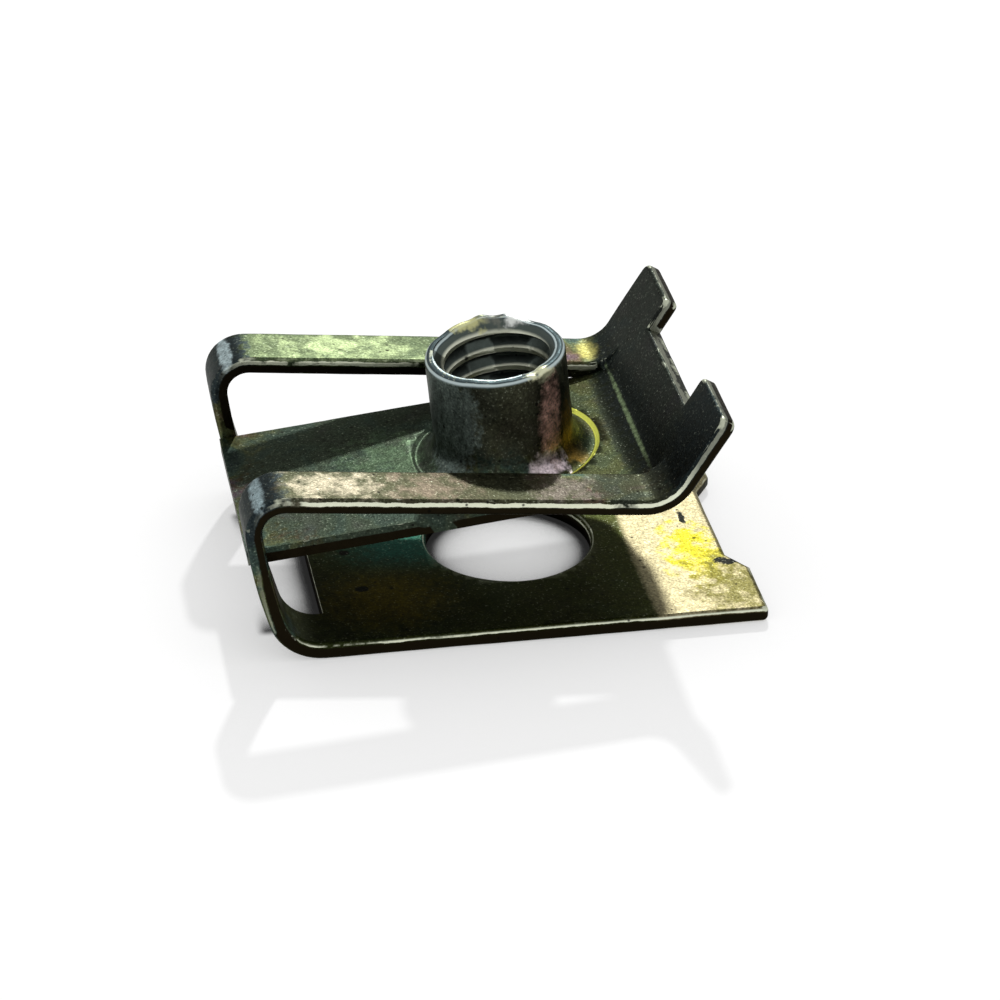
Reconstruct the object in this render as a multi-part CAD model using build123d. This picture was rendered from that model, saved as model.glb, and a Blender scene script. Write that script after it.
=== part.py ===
"""U-clip speed nut: one zinc-plated spring-steel pressing, folded, lanced, drawn and tapped.

Millimetres, +Z up. The origin is the centre of the clearance hole on the underside of the
bottom leaf. X runs from the closed bend (-X) to the open mouth with the flared lip (+X).
"""
from build123d import *
from math import cos, radians, sin, tan
import os

os.makedirs("parts", exist_ok=True)

# ---- sheet ----
SHEET = 0.8  # thickness of the strip
WIDTH = 17.0  # across the clip, along Y
ROLLOVER = 0.22  # radius that the blanking punch leaves on the outer face's edges

# ---- bottom leaf ----
HOLE_D = 8.1  # clearance hole
HOLE_EDGE = 0.15  # broken edge round the hole on the upper face
LEAF_END = 10.2  # from the hole's centre to the end between the corner tabs
TAB_OUT = 0.9  # how far the two corner tabs stand past that end
TAB_ROOT_HALF = 3.2  # half the gap between the tabs at their root
TAB_TIP_HALF = 4.6  # and at their tips
LEAF_END_ROUND = 0.28

# ---- closed end: bottom bend, slightly bowed wall, top bend ----
BACK_CORNER = 12.2  # from the hole's centre to where the wall's line meets the underside
BOTTOM_BEND_R = 2.7
WALL_LEAN_LOW = 16.0  # degrees outward from upright below the bow
WALL_LEAN_HIGH = 7.4  # and above it
WALL_BOW_Z = 4.4
WALL_BOW_R = 25.0
TOP_BEND_R = 1.8

# ---- arms ----
ARM = 2.85  # width of each of the two arms and of the two wall strips
ARM_DROP = 5.6  # degrees, closing towards the mouth
WINDOW_END = 9.9  # the window between the strips ends this far behind the hole's centre

# ---- lip ----
LIP_X = 6.0  # where the arms' upper face meets the lip's
LIP_Z = 7.0
LIP_ANGLE = 59.0
LIP_LENGTH = 4.8
LIP_BEND_R = 1.7
NOTCH_WIDTH = 8.0
NOTCH_DEPTH = 1.7
EAR_CORNER_R = 0.5
NOTCH_CORNER_R = 0.3

# ---- tongue ----
TONGUE_RISE = 6.25  # degrees, opening towards the mouth
TONGUE_Z = 5.95  # its upper face above the hole's centre
TONGUE_END = 13.45  # its free end, level with the wall strips' outer face
SLIT = 0.1  # gap between the tongue and each arm
SLIT_END = 5.6

# ---- drawn and tapped collar ----
COLLAR_X = -0.18  # where its axis leaves the tongue's upper face
COLLAR_D = 6.76
COLLAR_H = 5.25
BORE_D = 5.0  # the crests of an M6 x 1 thread
COUNTERSINK_D = 5.8
RIM_ROUND = 0.25
FOOT_R = 1.05  # fillet round the collar's foot
FOOT_SINK = 0.12  # the drawn foot lies this far under the tongue's face
FOOT_STEP = 0.1
ENTRY_R = 0.5  # rounded entry that the drawing punch leaves under the tongue

HALF = WIDTH / 2
ARM_IN = HALF - ARM
AXIS_Y = Vector(0, 1, 0)


def along(point, degrees, length):
    """The point a given length away, at an angle above +X in the side view."""
    return (point[0] + length * cos(radians(degrees)), point[1] + length * sin(radians(degrees)))


def crossing(p, p_deg, q, q_deg):
    """Where two lines of the side view cross."""
    slope_p = tan(radians(p_deg))
    slope_q = tan(radians(q_deg))
    x = (q[1] - p[1] + slope_p * p[0] - slope_q * q[0]) / (slope_p - slope_q)
    return (x, p[1] + slope_p * (x - p[0]))


LIP_CORNER = (LIP_X, LIP_Z)
LIP_TIP = along(LIP_CORNER, LIP_ANGLE, LIP_LENGTH)
BOTTOM_CORNER = (-BACK_CORNER, 0.0)
WALL_KNEE = (-BACK_CORNER - WALL_BOW_Z * tan(radians(WALL_LEAN_LOW)), WALL_BOW_Z)
TOP_CORNER = crossing(WALL_KNEE, 90 + WALL_LEAN_HIGH, LIP_CORNER, -ARM_DROP)
TONGUE_ROOT = crossing((0.0, TONGUE_Z), TONGUE_RISE, LIP_CORNER, LIP_ANGLE)
TONGUE_TIP = (-TONGUE_END, TONGUE_Z - TONGUE_END * tan(radians(TONGUE_RISE)))


def on_side(points):
    """Side-view points as points of the XZ plane."""
    return [Vector(x, 0, z) for x, z in points]


def outline(points, radii):
    """The outer line of a folded strip, with its bends."""
    return FilletPolyline(*on_side(points), radius=radii)


def offset_line(line):
    """The same line one thickness to the right of its run."""
    flat = Plane.XZ.to_local_coords(line)
    moved = flat.offset_2d(SHEET, side=Side.RIGHT, closed=False)
    return Plane.XZ.from_local_coords(moved)


def strip(line):
    """The strip's section: the outer line and its copy one thickness inwards."""
    inner = offset_line(line)
    caps = [Line(line @ 0, inner @ 0), Line(inner @ 1, line @ 1)]
    return Face(Wire(line.edges() + inner.edges() + caps))


def across(face, half):
    """A side-view face drawn out to both sides of the middle."""
    return extrude(face, amount=half, dir=AXIS_Y, both=True)


def prism(points, half):
    return across(make_face(Polyline(*on_side(points), close=True)), half)


def edges_on(shape, line, y):
    """The shape's edges that lie on the outer line at one Y."""
    there = Pos(0, y, 0) * line
    return [e for e in shape.edges() if all(there.distance_to(e @ t) < 1e-3 for t in (0, 0.5, 1))]


BAND_LINE = outline(
    [(LEAF_END + TAB_OUT, 0), BOTTOM_CORNER, WALL_KNEE, TOP_CORNER, LIP_CORNER, LIP_TIP],
    [BOTTOM_BEND_R, WALL_BOW_R, TOP_BEND_R, LIP_BEND_R],
)
LIP_MIDDLE = along(LIP_CORNER, LIP_ANGLE, (LIP_LENGTH - NOTCH_DEPTH) / 2)
TONGUE_LINE = outline([TONGUE_TIP, TONGUE_ROOT, LIP_MIDDLE], [LIP_BEND_R])
LIP_RUN = Vector(cos(radians(LIP_ANGLE)), 0, sin(radians(LIP_ANGLE)))
LIP_OUT = Vector(sin(radians(LIP_ANGLE)), 0, -cos(radians(LIP_ANGLE)))


def folded_band():
    """The full-width strip, with rounded edges on the face that the punch entered."""
    band = across(strip(BAND_LINE), HALF)
    band = cut_lip(cut_leaf_end(band))
    sides = edges_on(band, BAND_LINE, HALF) + edges_on(band, BAND_LINE, -HALF)
    return fillet(sides + lip_outline(band), ROLLOVER)


def lip_outline(band):
    """The edges of the lip's inner face round its ears and notch."""
    tip = Vector(LIP_TIP[0], 0, LIP_TIP[1])
    found = []
    for e in band.edges():
        on_face = all(abs((e @ t - tip).dot(LIP_OUT)) < 1e-4 for t in (0, 0.5, 1))
        near_end = (tip - e @ 0.5).dot(LIP_RUN) < NOTCH_DEPTH + 0.01
        if on_face and near_end:
            found.append(e)
    return found


def cut_window(band):
    """Opens the middle from the bottom leaf over the wall to the arms' ends."""
    low = prism([(-30, -5), (-WINDOW_END, -5), (-WINDOW_END, 20), (-30, 20)], ARM_IN)
    high = prism([(-30, 3), (SLIT_END, 3), (SLIT_END, 20), (-30, 20)], ARM_IN)
    band = band - low - high
    rims = edges_on(band, BAND_LINE, ARM_IN) + edges_on(band, BAND_LINE, -ARM_IN)
    return fillet(rims, ROLLOVER)


def cut_leaf_end(band):
    """Leaves the two corner tabs on the bottom leaf and rounds their ends."""
    root = LEAF_END
    tip = LEAF_END + TAB_OUT
    plan = Polyline(
        (root, -TAB_ROOT_HALF), (tip, -TAB_TIP_HALF), (tip + 5, -TAB_TIP_HALF),
        (tip + 5, TAB_TIP_HALF), (tip, TAB_TIP_HALF), (root, TAB_ROOT_HALF), close=True,
    )
    band = band - extrude(make_face(plan), amount=2, both=True)
    ends = [e for e in band.edges() if is_leaf_end(e)]
    return fillet(ends, LEAF_END_ROUND)


def is_leaf_end(edge):
    """The long edges of the bottom leaf's free end."""
    middle = edge @ 0.5
    level = abs((edge @ 0).Z - (edge @ 1).Z) < 1e-6
    crosswise = abs((edge @ 0).Y - (edge @ 1).Y) > 1
    return level and crosswise and middle.X > LEAF_END - 0.01 and middle.Z < SHEET + 0.01


def cut_bend(band):
    """Takes the middle of the arms' bend away, for the tongue's own bend."""
    straight = LIP_BEND_R * tan(radians((LIP_ANGLE + ARM_DROP) / 2)) + 0.01
    joint = along(LIP_CORNER, LIP_ANGLE, straight)
    above = along(joint, LIP_ANGLE + 90, 5)
    below = along(joint, LIP_ANGLE - 90, 5)
    return band - prism([(SLIT_END - 1, 20), above, below, (SLIT_END - 1, 3)], ARM_IN)


def tongue_body():
    """The tongue with its bend and the lip's middle, parted from the arms by the slits."""
    body = across(strip(TONGUE_LINE), ARM_IN)
    slit = Box(40, SLIT, 20, align=(Align.MAX, Align.MIN, Align.CENTER))
    left = Pos(SLIT_END, ARM_IN - SLIT, 8) * slit
    right = Pos(SLIT_END, -ARM_IN, 8) * slit
    return body - left - right


def cut_lip(body):
    """The lip's notch, which leaves an ear at each side, with rounded corners."""
    tip = Vector(*on_side([LIP_TIP])[0])
    floor = tip - LIP_RUN * NOTCH_DEPTH
    plane = Plane(origin=floor, x_dir=LIP_RUN, z_dir=LIP_OUT)
    cutter = plane * Box(6, NOTCH_WIDTH, 6, align=(Align.MIN, Align.CENTER, Align.CENTER))
    body = body - cutter
    outer = [e for e in lip_edges(body) if (tip - e @ 0.5).dot(LIP_RUN) < 0.01]
    ears = [e for e in outer if abs((e @ 0.5).Y) > HALF - 0.5]
    body = fillet(ears, EAR_CORNER_R)
    outer = [e for e in lip_edges(body) if (tip - e @ 0.5).dot(LIP_RUN) < 0.01]
    notch = [e for e in outer if abs(abs((e @ 0.5).Y) - NOTCH_WIDTH / 2) < 0.01]
    return fillet(notch, NOTCH_CORNER_R)


def lip_edges(body):
    """Edges through the lip's thickness."""
    found = []
    for e in body.edges():
        run = e @ 1 - e @ 0
        if abs(run.length - SHEET) < SHEET / 2 and abs(run.normalized().dot(LIP_OUT)) > 0.999:
            found.append(e)
    return found


def collar_plane():
    rise = radians(TONGUE_RISE)
    face_z = TONGUE_Z + COLLAR_X * tan(rise)
    run = Vector(cos(rise), 0, sin(rise))
    return Plane(origin=(COLLAR_X, 0, face_z), x_dir=run, z_dir=Vector(-sin(rise), 0, cos(rise)))


def spun(*lines):
    """A half section, drawn as radius and height, turned about Z."""
    face = Plane.XZ * make_face([e for line in lines for e in line.edges()])
    return revolve(face, Axis.Z)


def turned(*lines):
    """The same about the collar's axis, with the height counted from the tongue's face."""
    return collar_plane() * spun(*lines)


def sunk_foot():
    """The shallow step that the draw leaves round the foot."""
    foot = COLLAR_D / 2 + FOOT_R
    return turned(Polyline(
        (0, -FOOT_SINK), (foot, -FOOT_SINK), (foot + FOOT_STEP, 0),
        (foot + FOOT_STEP, SHEET), (0, SHEET), close=True,
    ))


def drawn_wall():
    """The collar's outer form: wall, rounded rim and foot fillet."""
    r = COLLAR_D / 2
    foot = r + FOOT_R
    foot_top = FOOT_R - FOOT_SINK
    wall = Line((r, foot_top), (r, COLLAR_H - RIM_ROUND))
    rim = RadiusArc((r, COLLAR_H - RIM_ROUND), (r - RIM_ROUND, COLLAR_H), -RIM_ROUND)
    middle = Polyline(
        (r - RIM_ROUND, COLLAR_H), (0, COLLAR_H), (0, -SHEET / 2),
        (foot, -SHEET / 2), (foot, -FOOT_SINK),
    )
    return turned(wall, rim, middle, RadiusArc((foot, -FOOT_SINK), (r, foot_top), FOOT_R))


def bore_tool():
    """The bore with its countersink above and the rounded entry below."""
    r = BORE_D / 2
    mouth = COUNTERSINK_D / 2
    low = ENTRY_R - SHEET
    upper = Polyline(
        (0, COLLAR_H + 1), (mouth, COLLAR_H + 1), (mouth, COLLAR_H),
        (r, COLLAR_H - mouth + r), (r, low),
    )
    entry = RadiusArc((r, low), (r + ENTRY_R, -SHEET), ENTRY_R)
    lower = Polyline((r + ENTRY_R, -SHEET), (r + ENTRY_R, -SHEET - 1), (0, -SHEET - 1), (0, COLLAR_H + 1))
    return turned(upper, entry, lower)


def drawn_collar(body):
    return body - sunk_foot() + drawn_wall() - bore_tool()


def hole_tool():
    """The clearance hole with its broken edge."""
    r = HOLE_D / 2
    wide = r + HOLE_EDGE
    return spun(Polyline(
        (0, -1), (r, -1), (r, SHEET - HOLE_EDGE), (wide, SHEET),
        (wide, SHEET + 1), (0, SHEET + 1), close=True,
    ))


def clip():
    band = cut_bend(cut_window(folded_band()))
    body = band + tongue_body()
    body = body - hole_tool()
    return drawn_collar(body)


shape = clip()
box = shape.bounding_box()
print("valid", shape.is_valid, "solids", len(shape.solids()), "volume", round(shape.volume, 2))
print("size", box.size, "from", box.min, "to", box.max)
export_step(shape, "parts/clip.step")
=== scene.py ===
"""Looks of a U-clip speed nut: one spring-steel pressing, zinc plated and yellow passivated.

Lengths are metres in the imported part's own frame: X runs from the closed bend to the flared
mouth, Z up, and the origin is the centre of the clearance hole on the underside. Sizes named
here are millimetres unless they say otherwise, and MM turns them to metres.
"""
import bpy
import bmesh
import math
import numpy as np
from collections import namedtuple
from mathutils import Matrix, Vector, noise
from mathutils.bvhtree import BVHTree


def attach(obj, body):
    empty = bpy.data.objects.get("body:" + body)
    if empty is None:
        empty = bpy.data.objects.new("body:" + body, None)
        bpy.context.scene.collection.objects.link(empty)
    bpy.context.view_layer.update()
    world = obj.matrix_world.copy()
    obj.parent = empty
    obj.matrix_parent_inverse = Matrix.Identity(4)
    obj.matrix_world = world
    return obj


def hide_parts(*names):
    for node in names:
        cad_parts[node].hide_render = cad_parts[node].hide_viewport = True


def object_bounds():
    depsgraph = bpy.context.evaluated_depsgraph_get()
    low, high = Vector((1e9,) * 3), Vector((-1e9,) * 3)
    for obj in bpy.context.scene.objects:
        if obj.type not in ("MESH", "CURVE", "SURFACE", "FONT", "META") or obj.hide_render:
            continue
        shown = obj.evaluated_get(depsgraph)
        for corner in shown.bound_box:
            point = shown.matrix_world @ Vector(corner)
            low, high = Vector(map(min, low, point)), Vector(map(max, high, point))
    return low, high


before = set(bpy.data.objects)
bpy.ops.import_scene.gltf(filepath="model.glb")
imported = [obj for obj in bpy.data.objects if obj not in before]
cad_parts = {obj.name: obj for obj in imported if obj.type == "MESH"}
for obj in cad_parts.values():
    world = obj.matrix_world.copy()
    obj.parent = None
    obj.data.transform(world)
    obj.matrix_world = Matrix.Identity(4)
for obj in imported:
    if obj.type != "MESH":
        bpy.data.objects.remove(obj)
CAD_LOW, CAD_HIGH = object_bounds()
MM = 0.001

# ---- view ----
VIEW_AZIMUTH = -10.485  # degrees, 0 looks along +Y
VIEW_ELEVATION = 29.553
VIEW_ROLL = 0.62
VIEW_DISTANCE = 185.39 * MM
VIEW_TARGET = Vector((-0.338, 0.377, 2.72)) * MM
VIEW_LENS = 136.8
SENSOR = 36.0

# ---- light and floor, in metres and watts ----
SUN_SIDE = Vector((0.177, 0.770, 0.620))  # towards the key lamp: high behind the rear arm
SUN_DISTANCE = 0.6
SUN_SIZE = 0.022
SUN_POWER = 1.5
SKY_LEVEL = 0.75
SKY_SEEN = 0.85  # what metal and the camera see of it
FLOOR_HALF = 1.5
FLOOR_GREY = 0.64
FLOOR_LIFT = 0.42
UNDER_REACH = 3.0 * MM  # how near the part must be to darken the floor with painted shade
UNDER_SOFT = 0.6 * MM  # how softly the darkened box under the part ends
UNDER_SHUT = 0.74  # share of open sky at which the floor is fully dark
UNDER_OPEN = 0.96  # and at which it is plain
UNDER_DARK = 0.04  # how light the floor is where it is fully dark

# ---- sheet ----
SHEET = 0.8
BEND_END = -12.4  # past this is the closed bend, which is rubbed all round
TONGUE_HALF = 5.45  # just inside the tongue's long sides
GOOD_SIDE = Vector((-0.6, 0, 0.8))  # the outside of the fold and the top of the tongue

# ---- collar ----
COLLAR_LEAN = math.radians(6.25)  # the tongue rises towards the mouth, and the collar leans with it
COLLAR_FOOT = Vector((-0.18, 0.0, 5.9303))
COLLAR_RIM = 5.25  # height of the rim over the tongue
BORE = 5.0
COLLAR_REACH = 4.6  # seen from above, its fine faces lie this close to its foot's middle
COLLAR_LOW = 4.8  # and over this height from the floor
COLLAR_INSIDE = 3.1  # nothing is rubbed within this of the axis, save at the rim
FOOT_REACH = 5.4  # the foot's crease lies within this of the axis
FOOT_BAND = 1.2  # and within this height of the tongue

# ---- thread ----
PITCH = 1.0
THREAD_DEPTH = 0.5
THREAD_ROOT_FLAT = 0.12
THREAD_MOUTH = 0.88  # width of the groove where it leaves the bore
THREAD_TURNS = 8
THREAD_START = 0.38  # height over the rim where the path ends
POINTS_A_TURN = 60

# ---- rim, which the draw tore and the tap folded ----
Lump = namedtuple("Lump", "angle half_width height")  # degrees round the collar, and how far up
RIM_LUMPS = (
    Lump(angle=112, half_width=15, height=0.20),
    Lump(angle=92, half_width=9, height=0.30),
    Lump(angle=70, half_width=13, height=0.26),
    Lump(angle=30, half_width=8, height=0.06),
    Lump(angle=150, half_width=14, height=0.08),
    Lump(angle=-52, half_width=8, height=0.06),
    Lump(angle=-63, half_width=4, height=-0.14),
    Lump(angle=-120, half_width=12, height=0.05),
)
RIM_RIPPLE = 0.03
RIM_RIPPLE_STEP = 0.09  # of the noise, for each degree round the collar
TORN_REACH = 3.6  # only points within this of the axis are moved
TORN_LOOK = 0.8  # and only those less than this under the rim
TORN_BELOW = 0.7  # the lumps start this far under the rim
TORN_FULL = 0.05  # and are at their full height from here up
TORN_WALL = 3.0  # they rise from nothing at the bore to full at this radius

# ---- mesh ----
CAD_WELD = 1e-7  # metres
CUT_WELD = 1e-6  # metres, for the cut mesh
SLICE = 0.5
SLICE_START = 0.47  # where the first plane lies, as a share of a slice
FLAT_ENOUGH = math.radians(0.25)
SMOOTH_UNDER = math.radians(21)
FACE_WEIGHT = 80
DENT_SIZE = 2.6
DENT_DEPTH = 0.022
RIPPLE_SIZE = 0.7
RIPPLE_DEPTH = 0.007

# ---- edges ----
WEAR_AND_HIGHLIGHT_FROM = 0.9  # an edge this sharp, in 1/mm, starts to be rubbed and given a painted highlight
WEAR_AND_HIGHLIGHT_RANGE = 2.0  # and one this much sharper is rubbed fully
BEND_WEAR_AND_HIGHLIGHT = 0.5  # share of that wear and painted highlight on the closed bend
UP_FROM = -0.15  # elsewhere, how far an edge must face up before it is rubbed and given a painted highlight
UP_FULL = 0.3  # and before it is rubbed fully
RIM_WEAR_AND_HIGHLIGHT_DOWN = 0.2  # inside the collar, only this much under the rim is rubbed and given a painted highlight
SKIN = 0.02  # a ray starts this far inside a face
BROAD_THROUGH = 1.02 * SHEET  # more metal than this behind a face, and it isn't a broad one
SHEARED_THROUGH = 1.25 * SHEET  # more than this, and it starts to count as sheared
SHEARED_SOFT = 0.4 * SHEET  # and this much more makes it fully so
GOOD_ENOUGH = 0.2  # how far a face must turn to the good side to count as it


def linear(hex_colour):
    """An sRGB hex value as the linear RGBA that a node takes."""
    values = [int(hex_colour[i:i + 2], 16) / 255 for i in (1, 3, 5)]
    return [v / 12.92 if v <= 0.04045 else ((v + 0.055) / 1.055) ** 2.4 for v in values] + [1.0]


def add_node(tree, kind, links=None, **settings):
    """Adds a node, sets its properties, and links or sets its inputs."""
    node = tree.nodes.new(kind)
    for name, value in settings.items():
        setattr(node, name, value)
    for key, value in (links or {}).items():
        if isinstance(value, bpy.types.NodeSocket):
            tree.links.new(value, node.inputs[key])
        else:
            node.inputs[key].default_value = value
    return node


def put_in_scene(thing):
    """Links an object to the scene and hands it back."""
    bpy.context.scene.collection.objects.link(thing)
    return thing


# ---- the pressing's shape ----

def collar_place(height=0.0):
    """The place on the collar's axis at a height over the tongue, with Z along the axis."""
    lean = Matrix.Rotation(-COLLAR_LEAN, 4, "Y")
    return Matrix.Translation(COLLAR_FOOT * MM) @ lean @ Matrix.Translation((0, 0, height * MM))


def thread_tree():
    """Geometry Nodes for the tap's path: a pointed bar wound along a helix."""
    tree = bpy.data.node_groups.new("tapped_thread", "GeometryNodeTree")
    tree.interface.new_socket("Geometry", in_out="OUTPUT", socket_type="NodeSocketGeometry")
    sizes = {"Bore Radius": BORE / 2 * MM, "Pitch": PITCH * MM, "Depth": THREAD_DEPTH * MM,
             "Root Flat": THREAD_ROOT_FLAT * MM, "Mouth": THREAD_MOUTH * MM}
    for name in sizes:
        tree.interface.new_socket(name, in_out="INPUT", socket_type="NodeSocketFloat")
    for name in ("Turns", "Points a Turn"):
        tree.interface.new_socket(name, in_out="INPUT", socket_type="NodeSocketInt")
    sizes.update({"Turns": THREAD_TURNS, "Points a Turn": POINTS_A_TURN})
    given = add_node(tree, "NodeGroupInput").outputs
    height = add_node(tree, "ShaderNodeMath", {0: given["Pitch"], 1: given["Turns"]},
                      operation="MULTIPLY")
    helix = add_node(tree, "GeometryNodeCurveSpiral", {
        "Resolution": given["Points a Turn"], "Rotations": given["Turns"],
        "Start Radius": given["Bore Radius"], "End Radius": given["Bore Radius"],
        "Height": height.outputs[0]})
    upright = add_node(tree, "GeometryNodeSetCurveNormal", {"Curve": helix.outputs[0]}, mode="Z_UP")
    half_mouth = add_node(tree, "ShaderNodeMath", {0: given["Mouth"], 1: 0.5}, operation="MULTIPLY")
    half_root = add_node(tree, "ShaderNodeMath", {0: given["Root Flat"], 1: 0.5},
                         operation="MULTIPLY")
    corners = []
    for half, out, side in ((half_mouth, 0.15, -1), (half_mouth, 0.15, 1),
                            (half_root, -1.0, 1), (half_root, -1.0, -1)):
        away = add_node(tree, "ShaderNodeMath", {0: given["Depth"], 1: out}, operation="MULTIPLY")
        along = add_node(tree, "ShaderNodeMath", {0: half.outputs[0], 1: side},
                         operation="MULTIPLY")
        corner = add_node(tree, "ShaderNodeCombineXYZ", {"X": away.outputs[0],
                                                         "Y": along.outputs[0]})
        corners.append(corner.outputs[0])
    bar = add_node(tree, "GeometryNodeCurvePrimitiveQuadrilateral",
                   {"Point %d" % (i + 1): corner for i, corner in enumerate(corners)},
                   mode="POINTS")
    swept = add_node(tree, "GeometryNodeCurveToMesh", {
        "Curve": upright.outputs[0], "Profile Curve": bar.outputs[0], "Fill Caps": True})
    real = add_node(tree, "GeometryNodeRealizeInstances", {0: swept.outputs[0]})
    metal = add_node(tree, "GeometryNodeSetMaterial", {"Geometry": real.outputs[0],
                                                       "Material": bpy.data.materials[METAL]})
    add_node(tree, "NodeGroupOutput", {0: metal.outputs[0]})
    return tree, sizes


def plain_mesh(thing):
    """What an object's modifiers make of it, as a plain mesh, with the object taken away."""
    settled = thing.evaluated_get(bpy.context.evaluated_depsgraph_get())
    mesh = bpy.data.meshes.new_from_object(settled)
    bpy.data.objects.remove(thing)
    return mesh


def thread_cutter():
    """The tap's path as a plain closed mesh on the collar's axis, facing outwards."""
    cutter = put_in_scene(bpy.data.objects.new("cutter", bpy.data.meshes.new("cutter")))
    tree, sizes = thread_tree()
    maker = cutter.modifiers.new("thread", "NODES")
    maker.node_group = tree
    for socket in tree.interface.items_tree:
        if socket.in_out == "INPUT":
            maker[socket.identifier] = sizes[socket.name]
    mesh = plain_mesh(cutter)
    mesh.transform(collar_place(COLLAR_RIM + THREAD_START - PITCH * THREAD_TURNS))
    bm = bmesh.new()
    bm.from_mesh(mesh)
    bmesh.ops.remove_doubles(bm, verts=bm.verts, dist=CAD_WELD)
    bmesh.ops.recalc_face_normals(bm, faces=bm.faces)
    bm.to_mesh(mesh)
    bm.free()
    return mesh


def merged_copy(node):
    """A welded copy of a CAD node's loose triangles."""
    mesh = node.data.copy()
    mesh.transform(node.matrix_world)
    bm = bmesh.new()
    bm.from_mesh(mesh)
    bmesh.ops.remove_doubles(bm, verts=bm.verts, dist=CAD_WELD)
    bmesh.ops.dissolve_degenerate(bm, edges=bm.edges, dist=CAD_WELD)
    bmesh.ops.recalc_face_normals(bm, faces=bm.faces)
    bm.to_mesh(mesh)
    bm.free()
    return mesh


def cut_thread(body):
    """Takes the thread's groove out of the collar and returns the cut mesh."""
    tool = put_in_scene(bpy.data.objects.new("tool", thread_cutter()))
    blank = put_in_scene(bpy.data.objects.new("blank", body))
    cut = blank.modifiers.new("cut", "BOOLEAN")
    cut.operation = "DIFFERENCE"
    cut.solver = "EXACT"
    cut.object = tool
    result = plain_mesh(blank)
    bpy.data.objects.remove(tool)
    return result


def in_collar(face):
    """Whether a face belongs to the collar or its thread, which are fine enough round the axis."""
    return all(math.hypot(v.co.x - COLLAR_FOOT.x * MM, v.co.y) < COLLAR_REACH * MM and
               v.co.z > COLLAR_LOW * MM for v in face.verts)


def dissolve_flats(bm):
    """Joins what lies flat, but lets no flat face run all the way round a hole."""
    halved = bmesh.ops.bisect_plane(bm, geom=[*bm.verts, *bm.edges, *bm.faces], dist=CUT_WELD,
                                    plane_co=(0, 0, 0), plane_no=(0, 1, 0))
    for part in halved["geom_cut"]:
        if isinstance(part, bmesh.types.BMEdge):
            part.seam = True
    bmesh.ops.dissolve_limit(bm, angle_limit=FLAT_ENOUGH, use_dissolve_boundaries=False,
                             verts=bm.verts, edges=bm.edges, delimit={"SEAM"})


def slice_evenly(bm, step):
    """Cuts the faces by even planes, so that dents and edge wear have points to sit on."""
    for axis in (0, 1, 2):
        normal = Vector((0, 0, 0))
        normal[axis] = 1
        at = (math.floor(CAD_LOW[axis] / step) + SLICE_START) * step
        while at < CAD_HIGH[axis]:
            crossed = [f for f in bm.faces
                       if min(v.co[axis] for v in f.verts) < at - CUT_WELD
                       and max(v.co[axis] for v in f.verts) > at + CUT_WELD
                       and (axis == 2 or not in_collar(f))]
            edges = {edge for face in crossed for edge in face.edges}
            verts = {vert for face in crossed for vert in face.verts}
            bmesh.ops.bisect_plane(bm, geom=[*verts, *edges, *crossed], dist=CUT_WELD,
                                   plane_co=normal * at, plane_no=normal)
            at += step
    bmesh.ops.triangulate(bm, faces=bm.faces)


def step_up(value, low, high):
    """0 below low, 1 above high, and smooth between them."""
    t = min(max((value - low) / (high - low), 0.0), 1.0)
    return t * t * (3 - 2 * t)


def rim_height(angle):
    """How far the rim stands up or down at an angle round the collar."""
    height = 0.0
    for lump in RIM_LUMPS:
        away = abs((angle - lump.angle + 180) % 360 - 180) / lump.half_width
        height += lump.height * math.exp(-away * away)
    return height + RIM_RIPPLE * noise.noise(Vector((angle * RIM_RIPPLE_STEP, 3.1, 0.2)))


def roughen(mesh):
    """Shallow dents all over, and the collar's uneven rim."""
    back = collar_place(COLLAR_RIM).inverted()
    axis = collar_place().to_3x3() @ Vector((0, 0, 1))
    moves = []
    for vert in mesh.vertices:
        spot = vert.co / MM
        dent = DENT_DEPTH * noise.noise(spot / DENT_SIZE)
        dent += RIPPLE_DEPTH * noise.noise(spot / RIPPLE_SIZE)
        move = vert.normal * dent * MM
        from_rim = back @ vert.co / MM
        reach = math.hypot(from_rim.x, from_rim.y)
        if reach < TORN_REACH and from_rim.z > -TORN_LOOK:
            angle = math.degrees(math.atan2(from_rim.y, from_rim.x))
            upward = step_up(from_rim.z, -TORN_BELOW, -TORN_FULL)
            raised = upward * step_up(reach, BORE / 2, TORN_WALL)
            move += axis * rim_height(angle) * raised * MM
        moves.append(move)
    for vert, move in zip(mesh.vertices, moves):
        vert.co += move


def bend_at_points(mesh):
    """How sharply the surface turns at each point, in 1/mm: above 0 on outer edges."""
    count = len(mesh.vertices)
    spots = np.empty(count * 3)
    mesh.vertices.foreach_get("co", spots)
    spots = spots.reshape(-1, 3) / MM
    normals = np.empty(count * 3)
    mesh.vertex_normals.foreach_get("vector", normals)
    normals = normals.reshape(-1, 3)
    ends = np.empty(len(mesh.edges) * 2, dtype=np.int64)
    mesh.edges.foreach_get("vertices", ends)
    a, b = ends.reshape(-1, 2).T
    run = spots[b] - spots[a]
    length = np.maximum((run ** 2).sum(1), 1e-6)
    turn = ((normals[b] - normals[a]) * run).sum(1) / length
    total, weight = np.zeros(count), np.zeros(count)
    for end in (a, b):
        np.add.at(total, end, turn)
        np.add.at(weight, end, 1.0)
    return total / np.maximum(weight, 1)


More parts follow.
